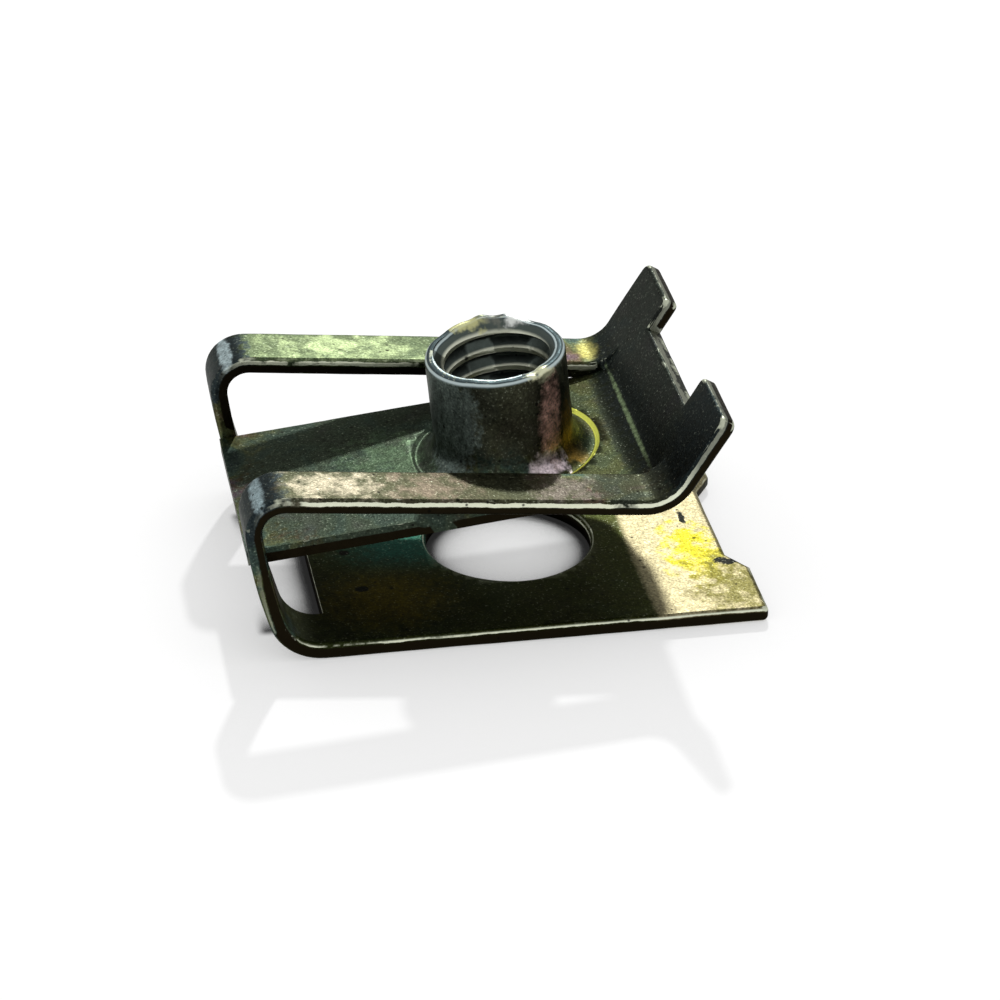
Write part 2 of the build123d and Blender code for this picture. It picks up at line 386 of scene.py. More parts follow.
def wear_and_highlight_at_points(mesh):
    """How far each outer edge is rubbed and painted with a highlight: in full where it faces up, and
    round the closed bend at half strength.

    The bore and the crease round the collar's foot are sheltered.
    """
    wear_and_highlight = np.clip((bend_at_points(mesh) - WEAR_AND_HIGHLIGHT_FROM) / WEAR_AND_HIGHLIGHT_RANGE, 0, 1)
    back = collar_place().inverted()
    for vert in mesh.vertices:
        spot = back @ vert.co / MM
        reach = math.hypot(spot.x, spot.y)
        at_foot = reach < FOOT_REACH and abs(spot.z) < FOOT_BAND
        in_bore = reach < COLLAR_INSIDE and spot.z < COLLAR_RIM - RIM_WEAR_AND_HIGHLIGHT_DOWN
        if at_foot or in_bore:
            wear_and_highlight[vert.index] = 0.0
        elif vert.co.x > BEND_END * MM:
            # only edges that face up keep the mark in full: that part of it is a painted highlight
            wear_and_highlight[vert.index] *= step_up(vert.normal.z, UP_FROM, UP_FULL)
        else:
            wear_and_highlight[vert.index] *= BEND_WEAR_AND_HIGHLIGHT
    return wear_and_highlight


def through_faces(mesh):
    """How much metal lies straight behind each face: one sheet's thickness on the broad sides."""
    tree = BVHTree.FromPolygons([v.co for v in mesh.vertices], [p.vertices for p in mesh.polygons])
    through = np.zeros(len(mesh.polygons))
    for face in mesh.polygons:
        inward = -face.normal
        hit = tree.ray_cast(face.center + inward * SKIN * MM, inward)
        through[face.index] = hit[3] / MM if hit[0] is not None else 0.0
    return through


def sheared_faces(mesh, through):
    """1 for each face on a sheared edge of the sheet, 0 on its two broad sides and the collar."""
    back = collar_place().inverted()
    sheared = np.clip((through - SHEARED_THROUGH) / SHEARED_SOFT, 0, 1)
    for face in mesh.polygons:
        spot = back @ face.center / MM
        if math.hypot(spot.x, spot.y) < FOOT_REACH and spot.z > -FOOT_BAND:
            sheared[face.index] = 0.0
    return sheared


def wear_and_highlight_corners(mesh, through):
    """How far each outer edge is rubbed, with its painted highlight, kept off the broad faces beside
    it.
    """
    wear_and_highlight = wear_and_highlight_at_points(mesh)
    corners = np.zeros(len(mesh.loops))
    for face in mesh.polygons:
        if through[face.index] >= BROAD_THROUGH:
            for corner in face.loop_indices:
                corners[corner] = wear_and_highlight[mesh.loops[corner].vertex_index]
    return corners


def depth_at_points(mesh, sheared):
    """How far each point lies below the sheet's good side, which the punch rounded."""
    good = [face.vertices for face in mesh.polygons
            if not sheared[face.index] and face.normal.dot(GOOD_SIDE) > GOOD_ENOUGH]
    side = BVHTree.FromPolygons([v.co for v in mesh.vertices], good)
    return [side.find_nearest(vert.co)[3] / MM for vert in mesh.vertices]


def mark(mesh, name, values, on="POINT"):
    """Keeps one value a point, a corner or a face on the mesh, for the material to read."""
    layer = mesh.attributes.new(name, "FLOAT", on)
    layer.data.foreach_set("value", np.asarray(values, dtype=np.float32))


def even_shading(mesh):
    """Lets the broad faces set the shading beside a rounded edge, so that flats look flat."""
    mesh.shade_smooth()
    mesh.set_sharp_from_angle(angle=SMOOTH_UNDER)
    carrier = put_in_scene(bpy.data.objects.new("carrier", mesh))
    weigh = carrier.modifiers.new("weigh", "WEIGHTED_NORMAL")
    weigh.keep_sharp = True
    weigh.weight = FACE_WEIGHT
    return plain_mesh(carrier)


def make_pressing():
    """The clip with its thread, dents and torn rim, as one mesh in place of the CAD node."""
    bm = bmesh.new()
    bm.from_mesh(cut_thread(merged_copy(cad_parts["clip"])))
    bmesh.ops.remove_doubles(bm, verts=bm.verts, dist=CUT_WELD)
    bmesh.ops.dissolve_degenerate(bm, edges=bm.edges, dist=CUT_WELD)
    dissolve_flats(bm)
    slice_evenly(bm, SLICE * MM)
    mesh = bpy.data.meshes.new("pressing")
    bm.to_mesh(mesh)
    bm.free()
    roughen(mesh)
    mesh.materials.append(bpy.data.materials[METAL])
    through = through_faces(mesh)
    sheared = sheared_faces(mesh, through)
    mark(mesh, "wear_and_highlight", wear_and_highlight_corners(mesh, through), "CORNER")
    mark(mesh, "sheared", sheared, "FACE")
    mark(mesh, "depth", depth_at_points(mesh, sheared))
    return put_in_scene(bpy.data.objects.new("pressing", even_shading(mesh)))


# ---- the metal's patterns and colours ----
METAL = "zinc_plate_yellow_passivated"
FILM_PATCH = 2.4  # the film's broad colour changes
CLOUD = 0.9  # its smaller clouds
MOTTLE = 0.34  # its fine mottle
GRAIN = 0.11  # the plating's crystals, drawn far coarser than real ones so that they show
SPECK_SPACING = 0.75  # specks of dirt, drawn coarser than real dust so that they show
BURNISHED_HIGH = 0.3  # smooth band over the torn part of a sheared edge, on the arms
BURNISHED_LOW = 0.13  # and on the leaf
RELIEF = 0.02  # height of the crystals' bumps

# where the painted highlight line on sheared edges stops
TONGUE_SIDE_LEVEL = 4.9  # about the middle height of the tongue's sides
TONGUE_SIDE_HALF = 1.75  # no line within this of that height
BESIDE_TONGUE = 0.6  # and as far out from the tongue as this
LIP_FROM = 6.4  # along X, the line starts to weaken here
LIP_FULL = 7.4  # and is weakest from here on
LIP_LOW = 6.0  # up Z, likewise
LIP_HIGH = 7.0
LIP_FADE = 0.75  # share of the line that the lip loses

BORE_STEEL = "#4b534f"
# painted highlight on the thread's crests
CREST_HIGHLIGHT = "#c3c6b4"
RIM_STEEL = "#3b4648"
# painted highlight lines on the rim's edges
RIM_PAINTED_HIGHLIGHT = "#b4c2c2"
# painted highlight on the step round the collar's foot, towards the mouth
FOOT_PAINTED_HIGHLIGHT = "#d6da62"
# painted shade on that step, towards the bend
FOOT_PAINTED_SHADE = "#273026"
# torn metal of sheared edges, painted darker as a dark reflection
TORN_EDGE_AND_DARK_REFLECTION = "#19150c"
# burnished band of sheared edges, painted bright as a highlight
BURNISHED_EDGE_HIGHLIGHT = "#dfe3cc"
# metal rubbed through on outer edges, also a painted highlight on edges that face up
BARE_METAL_AND_HIGHLIGHT = "#c3c8b2"
# painted glints on the grain
PAINTED_GLINT = "#a9af9c"
DIRT = "#0c0b09"
FILM_STOPS = {0.30: "#2f3a38", 0.40: "#35443a", 0.47: "#494e34", 0.54: "#3f3f28",
              0.61: "#4b4032", 0.68: "#4a3c42", 0.78: "#344042"}

# radii of the collar's own rings
RIM_MIDDLE = 3.15
# the rim's painted highlight lines lie at these two radii
RIM_OUTER_LINE = 3.31
RIM_INNER_LINE = 2.94
# the foot's painted highlight and painted shade lie on this ring
FOOT_CREASE = 4.46

# A stain of the film, or a patch of painted light or shade: where its middle is, how far it reaches,
# its colour, how strongly it covers, how wide its border is as a share of its reach, and which noise
# breaks the border.
StainOrPaintedLight = namedtuple("StainOrPaintedLight", "at reach hue strength border breakup", defaults=(1.0, 0.3, "ragged"))

TONGUE_FILM = (  # dark blue green, olive near the mouth
    StainOrPaintedLight(at=(-6.0, 0.0, 5.0), reach=(9.0, 9.0, 2.2), hue="#2e3830", strength=0.85),
    StainOrPaintedLight(at=(-6.0, 0.4, 5.2), reach=(3.2, 3.6, 1.6), hue="#43543f", strength=0.7, border=0.9,
          breakup="clouded"),
    StainOrPaintedLight(at=(3.6, 0.0, 6.4), reach=(3.4, 8.0, 1.4), hue="#262a17", strength=0.85),
    StainOrPaintedLight(at=(6.0, 0.0, 6.9), reach=(1.6, 9.0, 1.4), hue="#1c211b", strength=0.85),
)
COLLAR_FILM_AND_SHADE = (  # brown olive, with a pink flash, a brass one, a pale patch at the foot, and painted shade in the foot's hollow towards the mouth
    StainOrPaintedLight(at=(-0.4, 0.0, 9.3), reach=(6.0, 6.0, 4.0), hue="#34352a", strength=0.9),
    StainOrPaintedLight(at=(-3.2, -1.4, 8.6), reach=(2.0, 2.6, 3.6), hue="#59645f", strength=0.8),
    StainOrPaintedLight(at=(1.6, -2.9, 8.8), reach=(0.9, 1.2, 3.2), hue="#e6b5a6", strength=0.95, border=0.8),
    StainOrPaintedLight(at=(2.8, -1.9, 7.6), reach=(1.1, 1.5, 2.4), hue="#86692c", strength=0.9, border=0.7),
    StainOrPaintedLight(at=(1.4, -3.3, 6.5), reach=(1.2, 1.5, 0.9), hue="#cbbcc2", strength=0.9, border=0.9,
          breakup="clouded"),
    # painted shade in the hollow round the collar's foot, on the side towards the mouth
    StainOrPaintedLight(at=(3.3, -0.8, 6.6), reach=(1.3, 2.0, 0.8), hue="#1e281e", strength=0.8, border=0.5),
)
LIP_PAINTED_SHADE_AND_HIGHLIGHT = (  # painted shade in dark grey, darker on the front ear, with a painted highlight along its crease with the tongue
    # painted shade over the lip
    StainOrPaintedLight(at=(8.3, 0.0, 10.2), reach=(4.4, 22.0, 5.4), hue="#1f2423", strength=0.93, border=0.2),
    # deeper painted shade on the front ear
    StainOrPaintedLight(at=(7.7, -7.4, 9.8), reach=(2.4, 3.4, 3.6), hue="#1a2123", strength=0.8),
    # painted highlight along the lip's crease with the tongue
    StainOrPaintedLight(at=(5.9, 0.0, 6.68), reach=(0.15, 7.4, 0.7), hue="#82946e", strength=0.75, border=0.6),
)
REAR_ARM_FILM_AND_HIGHLIGHT = (  # green brass, paler towards the bend, with a painted highlight where it turns up into the lip
    StainOrPaintedLight(at=(-5.0, 7.4, 8.8), reach=(11.2, 3.0, 2.6), hue="#404a35", strength=0.95, border=0.15),
    StainOrPaintedLight(at=(-7.0, 7.0, 8.4), reach=(5.0, 2.6, 1.6), hue="#7a8662", strength=0.85, border=1.2,
          breakup="clouded"),
    # painted highlight where the rear arm turns up into the lip
    StainOrPaintedLight(at=(5.2, 7.0, 7.1), reach=(0.7, 1.3, 1.2), hue="#7c7844", strength=0.9, border=0.6),
)
FRONT_ARM_FILM = (  # olive, with cream and pink patches towards the bend
    StainOrPaintedLight(at=(-5.0, -7.4, 8.8), reach=(11.2, 2.8, 2.6), hue="#343527", strength=0.95, border=0.15),
    StainOrPaintedLight(at=(-9.6, -7.2, 8.6), reach=(3.4, 2.2, 1.6), hue="#7a7463", strength=0.95, border=1.0,
          breakup="clouded"),
    StainOrPaintedLight(at=(-5.0, -7.2, 8.1), reach=(3.0, 2.2, 1.6), hue="#544b40", strength=0.9, border=1.2,
          breakup="clouded"),
    StainOrPaintedLight(at=(1.6, -7.1, 7.4), reach=(2.4, 2.0, 1.4), hue="#544e47", strength=0.9, border=1.0,
          breakup="clouded"),
    StainOrPaintedLight(at=(4.4, -7.2, 7.1), reach=(2.4, 2.6, 1.6), hue="#25271e", strength=0.85, border=0.4),
)
BEND_FILM_AND_HIGHLIGHTS = (  # blue grey, with a painted highlight across the crown of each strip
    StainOrPaintedLight(at=(-14.4, 0.0, 8.2), reach=(3.0, 30.0, 2.4), hue="#232b2e", strength=0.95, border=0.25),
    # painted highlights across the crown of the rear strip and of the front strip
    StainOrPaintedLight(at=(-12.95, 6.9, 8.5), reach=(0.42, 2.3, 0.7), hue="#a4b4b6", strength=0.85, border=0.5),
    StainOrPaintedLight(at=(-13.1, -7.1, 8.4), reach=(0.40, 2.1, 0.7), hue="#93a5a9", strength=0.8, border=0.5),
)
LEAF_FILM_SHADE_AND_LIGHT = (  # painted shade in dark olive under the arms, a painted pool of cream light in the open end, and blue green and yellow film patches
    # painted shade over the leaf under the arms
    StainOrPaintedLight(at=(-4.0, -3.0, 0.4), reach=(16.0, 16.0, 1.4), hue="#272c10", strength=0.92, border=0.2),
    StainOrPaintedLight(at=(-5.3, 0.0, 0.8), reach=(4.6, 3.2, 1.0), hue="#1c4a40", strength=0.85, border=0.9),
    StainOrPaintedLight(at=(-6.8, -4.8, 0.8), reach=(4.2, 3.6, 1.0), hue="#54490a", strength=0.85, border=0.9),
    # painted pool of cream light in the open end, with a steady border
    StainOrPaintedLight(at=(13.4, -3.0, 0.6), reach=(8.05, 30.0, 1.6), hue="#7b745a", strength=0.97, border=0.03,
          breakup="steady"),
    StainOrPaintedLight(at=(8.7, -2.9, 0.8), reach=(2.1, 3.6, 1.0), hue="#7f7806", strength=0.9, border=0.8,
          breakup="clouded"),
    StainOrPaintedLight(at=(10.2, -6.4, 0.8), reach=(3.2, 4.6, 1.0), hue="#45421e", strength=0.9, border=0.9,
          breakup="clouded"),
)
BURR_FLAKES = (  # black burr on the leaf's open edge, and two dark spots near the bend
    StainOrPaintedLight(at=(10.0, -3.9, 0.8), reach=(0.62, 0.42, 0.6), hue="#10110f", breakup="clouded"),
    StainOrPaintedLight(at=(8.8, 0.6, 0.8), reach=(0.2, 0.8, 0.6), hue="#10110f", breakup="clouded"),
    StainOrPaintedLight(at=(-7.76, -3.72, 0.8), reach=(0.4, 0.3, 0.5), hue="#0b0b08"),
    StainOrPaintedLight(at=(-8.13, -0.22, 0.8), reach=(0.3, 0.26, 0.5), hue="#0b0b08"),
)
RIM_PATCHES = (  # pale yellow, grey and white at the back of the rim, pale yellow at the front
    StainOrPaintedLight(at=(-1.5, 2.8, 11.4), reach=(1.2, 1.0, 0.8), hue="#c2c18c", strength=0.85, border=0.8,
          breakup="clouded"),
    StainOrPaintedLight(at=(-0.3, 3.0, 11.5), reach=(0.7, 1.0, 0.8), hue="#6d6f66", strength=0.85, border=0.8,
          breakup="clouded"),
    StainOrPaintedLight(at=(0.9, 2.8, 11.5), reach=(1.0, 1.0, 0.8), hue="#e6e9e4", strength=0.85, border=0.8,
          breakup="clouded"),
    StainOrPaintedLight(at=(1.1, -2.8, 11.2), reach=(1.1, 0.7, 0.5), hue="#d9d9b4", strength=0.85, border=0.8,
          breakup="clouded"),
)
# the film's stains, with the patches of painted shade and painted highlight among them
FILM_STAINS_AND_PAINTED_LIGHT = (TONGUE_FILM + COLLAR_FILM_AND_SHADE + LIP_PAINTED_SHADE_AND_HIGHLIGHT + REAR_ARM_FILM_AND_HIGHLIGHT + FRONT_ARM_FILM + BEND_FILM_AND_HIGHLIGHTS
               + LEAF_FILM_SHADE_AND_LIGHT + BURR_FLAKES)


def new_material(name):
    """An empty node material with a Principled shader: its tree, and that shader."""
    material = bpy.data.materials.new(name)
    material.use_nodes = True
    tree = material.node_tree
    tree.nodes.clear()
    shader = add_node(tree, "ShaderNodeBsdfPrincipled")
    add_node(tree, "ShaderNodeOutputMaterial", {"Surface": shader.outputs[0]})
    return tree, shader


def near_value(tree, value, middle, half, soft):
    """1 where a value is within half of a middle, fading to 0 over soft."""
    off = add_node(tree, "ShaderNodeMath", {0: value, 1: middle}, operation="SUBTRACT")
    away = add_node(tree, "ShaderNodeMath", {0: off.outputs[0]}, operation="ABSOLUTE")
    fade = add_node(tree, "ShaderNodeMapRange", {"Value": away.outputs[0], "From Min": half,
                                                 "From Max": half + soft, "To Min": 1.0,
                                                 "To Max": 0.0}, interpolation_type="SMOOTHSTEP")
    return fade.outputs[0]


def lay_stain_or_painted_light(tree, colour, place, stain, breakups):
    """Lays one stain of the film, or one patch of painted light or shade, over a colour, with a
    ragged border.
    """
    near = add_node(tree, "ShaderNodeMapping", {"Vector": place, "Location": stain.at,
                                                "Scale": stain.reach}, vector_type="TEXTURE")
    fade = add_node(tree, "ShaderNodeTexGradient", {0: near.outputs[0]},
                    gradient_type="SPHERICAL")
    broken = add_node(tree, "ShaderNodeMath", {0: fade.outputs["Fac"],
                                               1: breakups[stain.breakup]}, operation="ADD")
    amount = add_node(tree, "ShaderNodeMapRange", {
        "Value": broken.outputs[0], "From Min": 0.0, "From Max": stain.border,
        "To Min": 0.0, "To Max": stain.strength}, interpolation_type="SMOOTHSTEP")
    inside = add_node(tree, "ShaderNodeMapRange", {"Value": fade.outputs["Fac"], "From Max": 0.05})
    held = add_node(tree, "ShaderNodeMath", {0: amount.outputs[0], 1: inside.outputs[0]},
                    operation="MULTIPLY")
    mixed = add_node(tree, "ShaderNodeMix", {0: held.outputs[0], 6: colour,
                                             7: linear(stain.hue)}, data_type="RGBA")
    return mixed.outputs[2]


def noise_patterns(tree, place):
    """The noises, in millimetres, from the film's broad patches down to the plating's grain."""
    film = add_node(tree, "ShaderNodeTexNoise", {"Vector": place, "Scale": 1 / FILM_PATCH,
                                                 "Detail": 4.0, "Distortion": 0.6})
    cloud = add_node(tree, "ShaderNodeTexNoise", {"Vector": place, "Scale": 1 / CLOUD,
                                                  "Detail": 3.0, "Roughness": 0.65})
    mottle = add_node(tree, "ShaderNodeTexNoise", {"Vector": place, "Scale": 1 / MOTTLE,
                                                   "Detail": 3.0, "Roughness": 0.6})
    grain = add_node(tree, "ShaderNodeTexNoise", {"Vector": place, "Scale": 1 / GRAIN,
                                                  "Detail": 2.0})
    return {"film": film.outputs["Fac"], "cloud": cloud.outputs["Fac"],
            "mottle": mottle.outputs["Fac"], "grain": grain.outputs["Fac"]}


def border_breakups(tree, patterns):
    """What is added to a stain's fade to break its border: finely, in lobes, or hardly at all."""
    ragged = add_node(tree, "ShaderNodeMapRange", {
        "Value": patterns["mottle"], "From Min": 0.3, "From Max": 0.7,
        "To Min": -0.16, "To Max": 0.16})
    clouded = add_node(tree, "ShaderNodeMapRange", {
        "Value": patterns["cloud"], "From Min": 0.35, "From Max": 0.65,
        "To Min": -0.5, "To Max": 0.5})
    steady = add_node(tree, "ShaderNodeMath", {0: ragged.outputs[0], 1: 0.08},
                      operation="MULTIPLY")
    return {"ragged": ragged.outputs[0], "clouded": clouded.outputs[0],
            "steady": steady.outputs[0]}


def film_and_painted_light_colour(tree, place, patterns, breakups):
    """The film's colours: a slow drift through its tints, with every stain and every patch of painted
    light or shade laid over it.
    """
    tint = add_node(tree, "ShaderNodeValToRGB", {0: patterns["film"]})
    ramp = tint.color_ramp
    while len(ramp.elements) < len(FILM_STOPS):
        ramp.elements.new(0.5)
    for element, (at, hue) in zip(ramp.elements, FILM_STOPS.items()):
        element.position = at
        element.color = linear(hue)
    colour = tint.outputs["Color"]
    for stain in FILM_STAINS_AND_PAINTED_LIGHT:
        colour = lay_stain_or_painted_light(tree, colour, place, stain, breakups)
    return colour


def grained(tree, colour, patterns):
    """A colour broken by mottle and grain, with painted glints on the highest grains."""
    shade = add_node(tree, "ShaderNodeMapRange", {"Value": patterns["grain"], "From Min": 0.3,
                                                  "From Max": 0.7, "To Min": 0.62, "To Max": 1.45})
    mist = add_node(tree, "ShaderNodeMapRange", {"Value": patterns["mottle"], "From Min": 0.3,
                                                 "From Max": 0.7, "To Min": 0.75, "To Max": 1.3})
    both = add_node(tree, "ShaderNodeMath", {0: shade.outputs[0], 1: mist.outputs[0]},
                    operation="MULTIPLY")
    scaled = add_node(tree, "ShaderNodeVectorMath", {0: colour, "Scale": both.outputs[0]},
                      operation="SCALE")
    glint = add_node(tree, "ShaderNodeMapRange", {"Value": patterns["grain"], "From Min": 0.64,
                                                  "From Max": 0.74, "To Max": 0.35})
    sparkling = add_node(tree, "ShaderNodeMix", {0: glint.outputs[0], 6: scaled.outputs[0],
                                                 7: linear(PAINTED_GLINT)}, data_type="RGBA")
    return sparkling.outputs[2]


def from_collar_axis(tree, place):
    """The radius from the collar's axis, the height over the tongue, and X across the axis."""
    own = add_node(tree, "ShaderNodeMapping", {
        "Vector": place, "Location": COLLAR_FOOT, "Rotation": (0, -COLLAR_LEAN, 0)},
        vector_type="TEXTURE")
    parts = add_node(tree, "ShaderNodeSeparateXYZ", {0: own.outputs[0]}).outputs
    flat = add_node(tree, "ShaderNodeCombineXYZ", {"X": parts["X"], "Y": parts["Y"]})
    radius = add_node(tree, "ShaderNodeVectorMath", {0: flat.outputs[0]}, operation="LENGTH")
    return radius.outputs["Value"], parts["Z"], parts["X"]


def tapped_bore(tree, colour, radius, height):
    """Dark steel in the bore, with a painted highlight along the thread's crests."""
    in_bore = near_value(tree, radius, 0.0, BORE / 2 + THREAD_DEPTH, 0.06)
    in_height = near_value(tree, height, 2.2, 3.2, 0.1)
    tapped = add_node(tree, "ShaderNodeMath", {0: in_bore, 1: in_height}, operation="MULTIPLY")
    bored = add_node(tree, "ShaderNodeMix", {0: tapped.outputs[0], 6: colour,
                                             7: linear(BORE_STEEL)}, data_type="RGBA")
    # painted highlight on the crests
    crest = near_value(tree, radius, BORE / 2, 0.03, 0.13)
    crested = add_node(tree, "ShaderNodeMath", {0: crest, 1: tapped.outputs[0]},
                       operation="MULTIPLY")
    threaded = add_node(tree, "ShaderNodeMix", {0: crested.outputs[0], 6: bored.outputs[2],
                                                7: linear(CREST_HIGHLIGHT)}, data_type="RGBA")
    return threaded.outputs[2]


def rim_with_painted_highlights(tree, colour, place, radius, height, breakups):
    """A dark rim with a painted highlight line on its inner and outer edge, and pale patches."""
    on_top = near_value(tree, height, COLLAR_RIM + 0.1, 0.2, 0.12)
    ring = near_value(tree, radius, RIM_MIDDLE, 0.25, 0.1)
    rim = add_node(tree, "ShaderNodeMath", {0: on_top, 1: ring}, operation="MULTIPLY")
    rimmed = add_node(tree, "ShaderNodeMix", {0: rim.outputs[0], 6: colour,
                                              7: linear(RIM_STEEL)}, data_type="RGBA")
    # painted highlight lines on the rim's outer and inner edges
    outer = near_value(tree, radius, RIM_OUTER_LINE, 0.02, 0.05)
    inner = near_value(tree, radius, RIM_INNER_LINE, 0.02, 0.05)
    lines = add_node(tree, "ShaderNodeMath", {0: outer, 1: inner}, operation="MAXIMUM")
    on_rim = add_node(tree, "ShaderNodeMath", {0: rim.outputs[0], 1: lines.outputs[0]},
                      operation="MULTIPLY")
    lined = add_node(tree, "ShaderNodeMix", {0: on_rim.outputs[0], 6: rimmed.outputs[2],
                                             7: linear(RIM_PAINTED_HIGHLIGHT)}, data_type="RGBA")
    torn = lined.outputs[2]
    for patch in RIM_PATCHES:
        torn = lay_stain_or_painted_light(tree, torn, place, patch, breakups)
    return torn


def foot_crease(tree, colour, radius, height, across):
    """Painted highlight on the step round the collar's foot towards the mouth, and painted shade on
    it towards the bend.
    """
    ring = near_value(tree, radius, FOOT_CREASE, 0.06, 0.08)
    low = near_value(tree, height, 0.0, 0.3, 0.1)
    crease = add_node(tree, "ShaderNodeMath", {0: ring, 1: low}, operation="MULTIPLY")
    to_mouth = add_node(tree, "ShaderNodeMapRange", {"Value": across, "From Min": 0.5,
                                                     "From Max": 2.5})
    lit = add_node(tree, "ShaderNodeMath", {0: crease.outputs[0], 1: to_mouth.outputs[0]},
                   operation="MULTIPLY")
    bright = add_node(tree, "ShaderNodeMix", {0: lit.outputs[0], 6: colour,
                                              7: linear(FOOT_PAINTED_HIGHLIGHT)}, data_type="RGBA")
    to_bend = add_node(tree, "ShaderNodeMapRange", {"Value": across, "From Min": -0.5,
                                                    "From Max": -1.5, "To Max": 0.45})
    shaded = add_node(tree, "ShaderNodeMath", {0: crease.outputs[0], 1: to_bend.outputs[0]},
                      operation="MULTIPLY")
    dark = add_node(tree, "ShaderNodeMix", {0: shaded.outputs[0], 6: bright.outputs[2],
                                            7: linear(FOOT_PAINTED_SHADE)}, data_type="RGBA")
    return dark.outputs[2]


def lines_wanted(tree, spot):
    """1 where a sheared edge shows its burnished line, painted bright as a highlight: not on the bend
    or tongue, less on the lip.
    """
    past_bend = add_node(tree, "ShaderNodeMapRange", {
        "Value": spot["X"], "From Min": BEND_END - 1.0, "From Max": BEND_END + 1.5})
    tongue_wide = near_value(tree, spot["Y"], 0.0, TONGUE_HALF + BESIDE_TONGUE, 0.1)
    tongue_high = near_value(tree, spot["Z"], TONGUE_SIDE_LEVEL, TONGUE_SIDE_HALF, 0.15)
    on_tongue = add_node(tree, "ShaderNodeMath", {0: tongue_wide, 1: tongue_high},
                         operation="MULTIPLY")
    off_tongue = add_node(tree, "ShaderNodeMath", {0: 1.0, 1: on_tongue.outputs[0]},
                          operation="SUBTRACT")
    lip_out = add_node(tree, "ShaderNodeMapRange", {"Value": spot["X"], "From Min": LIP_FROM,
                                                    "From Max": LIP_FULL, "To Max": LIP_FADE})
    lip_up = add_node(tree, "ShaderNodeMapRange", {"Value": spot["Z"], "From Min": LIP_LOW,
                                                   "From Max": LIP_HIGH})
    on_lip = add_node(tree, "ShaderNodeMath", {0: lip_out.outputs[0], 1: lip_up.outputs[0]},
                      operation="MULTIPLY")
    off_lip = add_node(tree, "ShaderNodeMath", {0: 1.0, 1: on_lip.outputs[0]},
                       operation="SUBTRACT")
    off_both = add_node(tree, "ShaderNodeMath", {0: off_lip.outputs[0], 1: off_tongue.outputs[0]},
                        operation="MULTIPLY")
    wanted = add_node(tree, "ShaderNodeMath", {0: past_bend.outputs[0], 1: off_both.outputs[0]},
                      operation="MULTIPLY")
    return wanted.outputs[0]


def sheared_edge(tree, colour, place, patterns, breakups):
    """A blanked edge: a burnished band under the good side, painted bright as a highlight, and torn
    metal below it, painted darker as a dark reflection.
    """
    sheared = add_node(tree, "ShaderNodeAttribute", attribute_name="sheared").outputs["Fac"]
    depth = add_node(tree, "ShaderNodeAttribute", attribute_name="depth").outputs["Fac"]
    spot = add_node(tree, "ShaderNodeSeparateXYZ", {0: place}).outputs
    uneven = add_node(tree, "ShaderNodeMath", {0: breakups["ragged"], 1: 0.14, 2: depth},
                      operation="MULTIPLY_ADD")
    band = add_node(tree, "ShaderNodeMapRange", {
        "Value": spot["Z"], "From Min": 2.0, "From Max": 5.0, "To Min": BURNISHED_LOW,
        "To Max": BURNISHED_HIGH})
    under_band = add_node(tree, "ShaderNodeMath", {0: uneven.outputs[0], 1: band.outputs[0]},
                          operation="SUBTRACT").outputs[0]
    torn = add_node(tree, "ShaderNodeMapRange", {"Value": under_band, "From Min": 0.0,
                                                 "From Max": 0.05})
    # torn metal, painted darker as a dark reflection
    dark = add_node(tree, "ShaderNodeMath", {0: sheared, 1: torn.outputs[0]},
                    operation="MULTIPLY")
    cut = add_node(tree, "ShaderNodeMix", {0: dark.outputs[0], 6: colour,
                                           7: linear(TORN_EDGE_AND_DARK_REFLECTION)}, data_type="RGBA")
    in_band = near_value(tree, under_band, -0.11, 0.08, 0.05)
    shone = add_node(tree, "ShaderNodeMath", {0: in_band, 1: patterns["film"]},
                     operation="MULTIPLY")
    beaded = add_node(tree, "ShaderNodeMath", {0: breakups["ragged"], 1: 0.5,
                                               2: shone.outputs[0]}, operation="MULTIPLY_ADD")
    # the painted highlight along the burnished band
    bright = add_node(tree, "ShaderNodeMapRange", {"Value": beaded.outputs[0], "From Min": 0.30,
                                                   "From Max": 0.44})
    on_edge = add_node(tree, "ShaderNodeMath", {0: bright.outputs[0], 1: sheared},
                       operation="MULTIPLY")
    lined = add_node(tree, "ShaderNodeMath", {0: on_edge.outputs[0],
                                              1: lines_wanted(tree, spot)}, operation="MULTIPLY")
    edged = add_node(tree, "ShaderNodeMix", {0: lined.outputs[0], 6: cut.outputs[2],
                                             7: linear(BURNISHED_EDGE_HIGHLIGHT)}, data_type="RGBA")
    return edged.outputs[2]


def rubbed_bare_and_highlight(tree, breakups):
    """How far outer edges that knocked about in the plating barrel are rubbed through, with their
    painted highlight.
    """
    wear_and_highlight = add_node(tree, "ShaderNodeAttribute", attribute_name="wear_and_highlight")
    rubbed = add_node(tree, "ShaderNodeMath", {0: breakups["clouded"], 1: 0.4,
                                               2: wear_and_highlight.outputs["Fac"]}, operation="MULTIPLY_ADD")
    bare_and_highlight = add_node(tree, "ShaderNodeMapRange", {"Value": rubbed.outputs[0], "From Min": 0.45,
                                                 "From Max": 0.9, "To Max": 0.85})
    return bare_and_highlight.outputs[0]


def dirt_specks(tree, place):
    """Specks of dirt of mixed sizes, one in each cell of the pattern."""
    cells = add_node(tree, "ShaderNodeTexVoronoi", {"Vector": place, "Scale": 1 / SPECK_SPACING})
    spread = add_node(tree, "ShaderNodeMath", {0: cells.outputs["Distance"],
                                               1: cells.outputs["Color"]}, operation="DIVIDE")
    dirt = add_node(tree, "ShaderNodeMapRange", {"Value": spread.outputs[0], "From Min": 0.10,
                                                 "From Max": 0.20, "To Min": 0.85, "To Max": 0.0})
    return dirt.outputs[0]


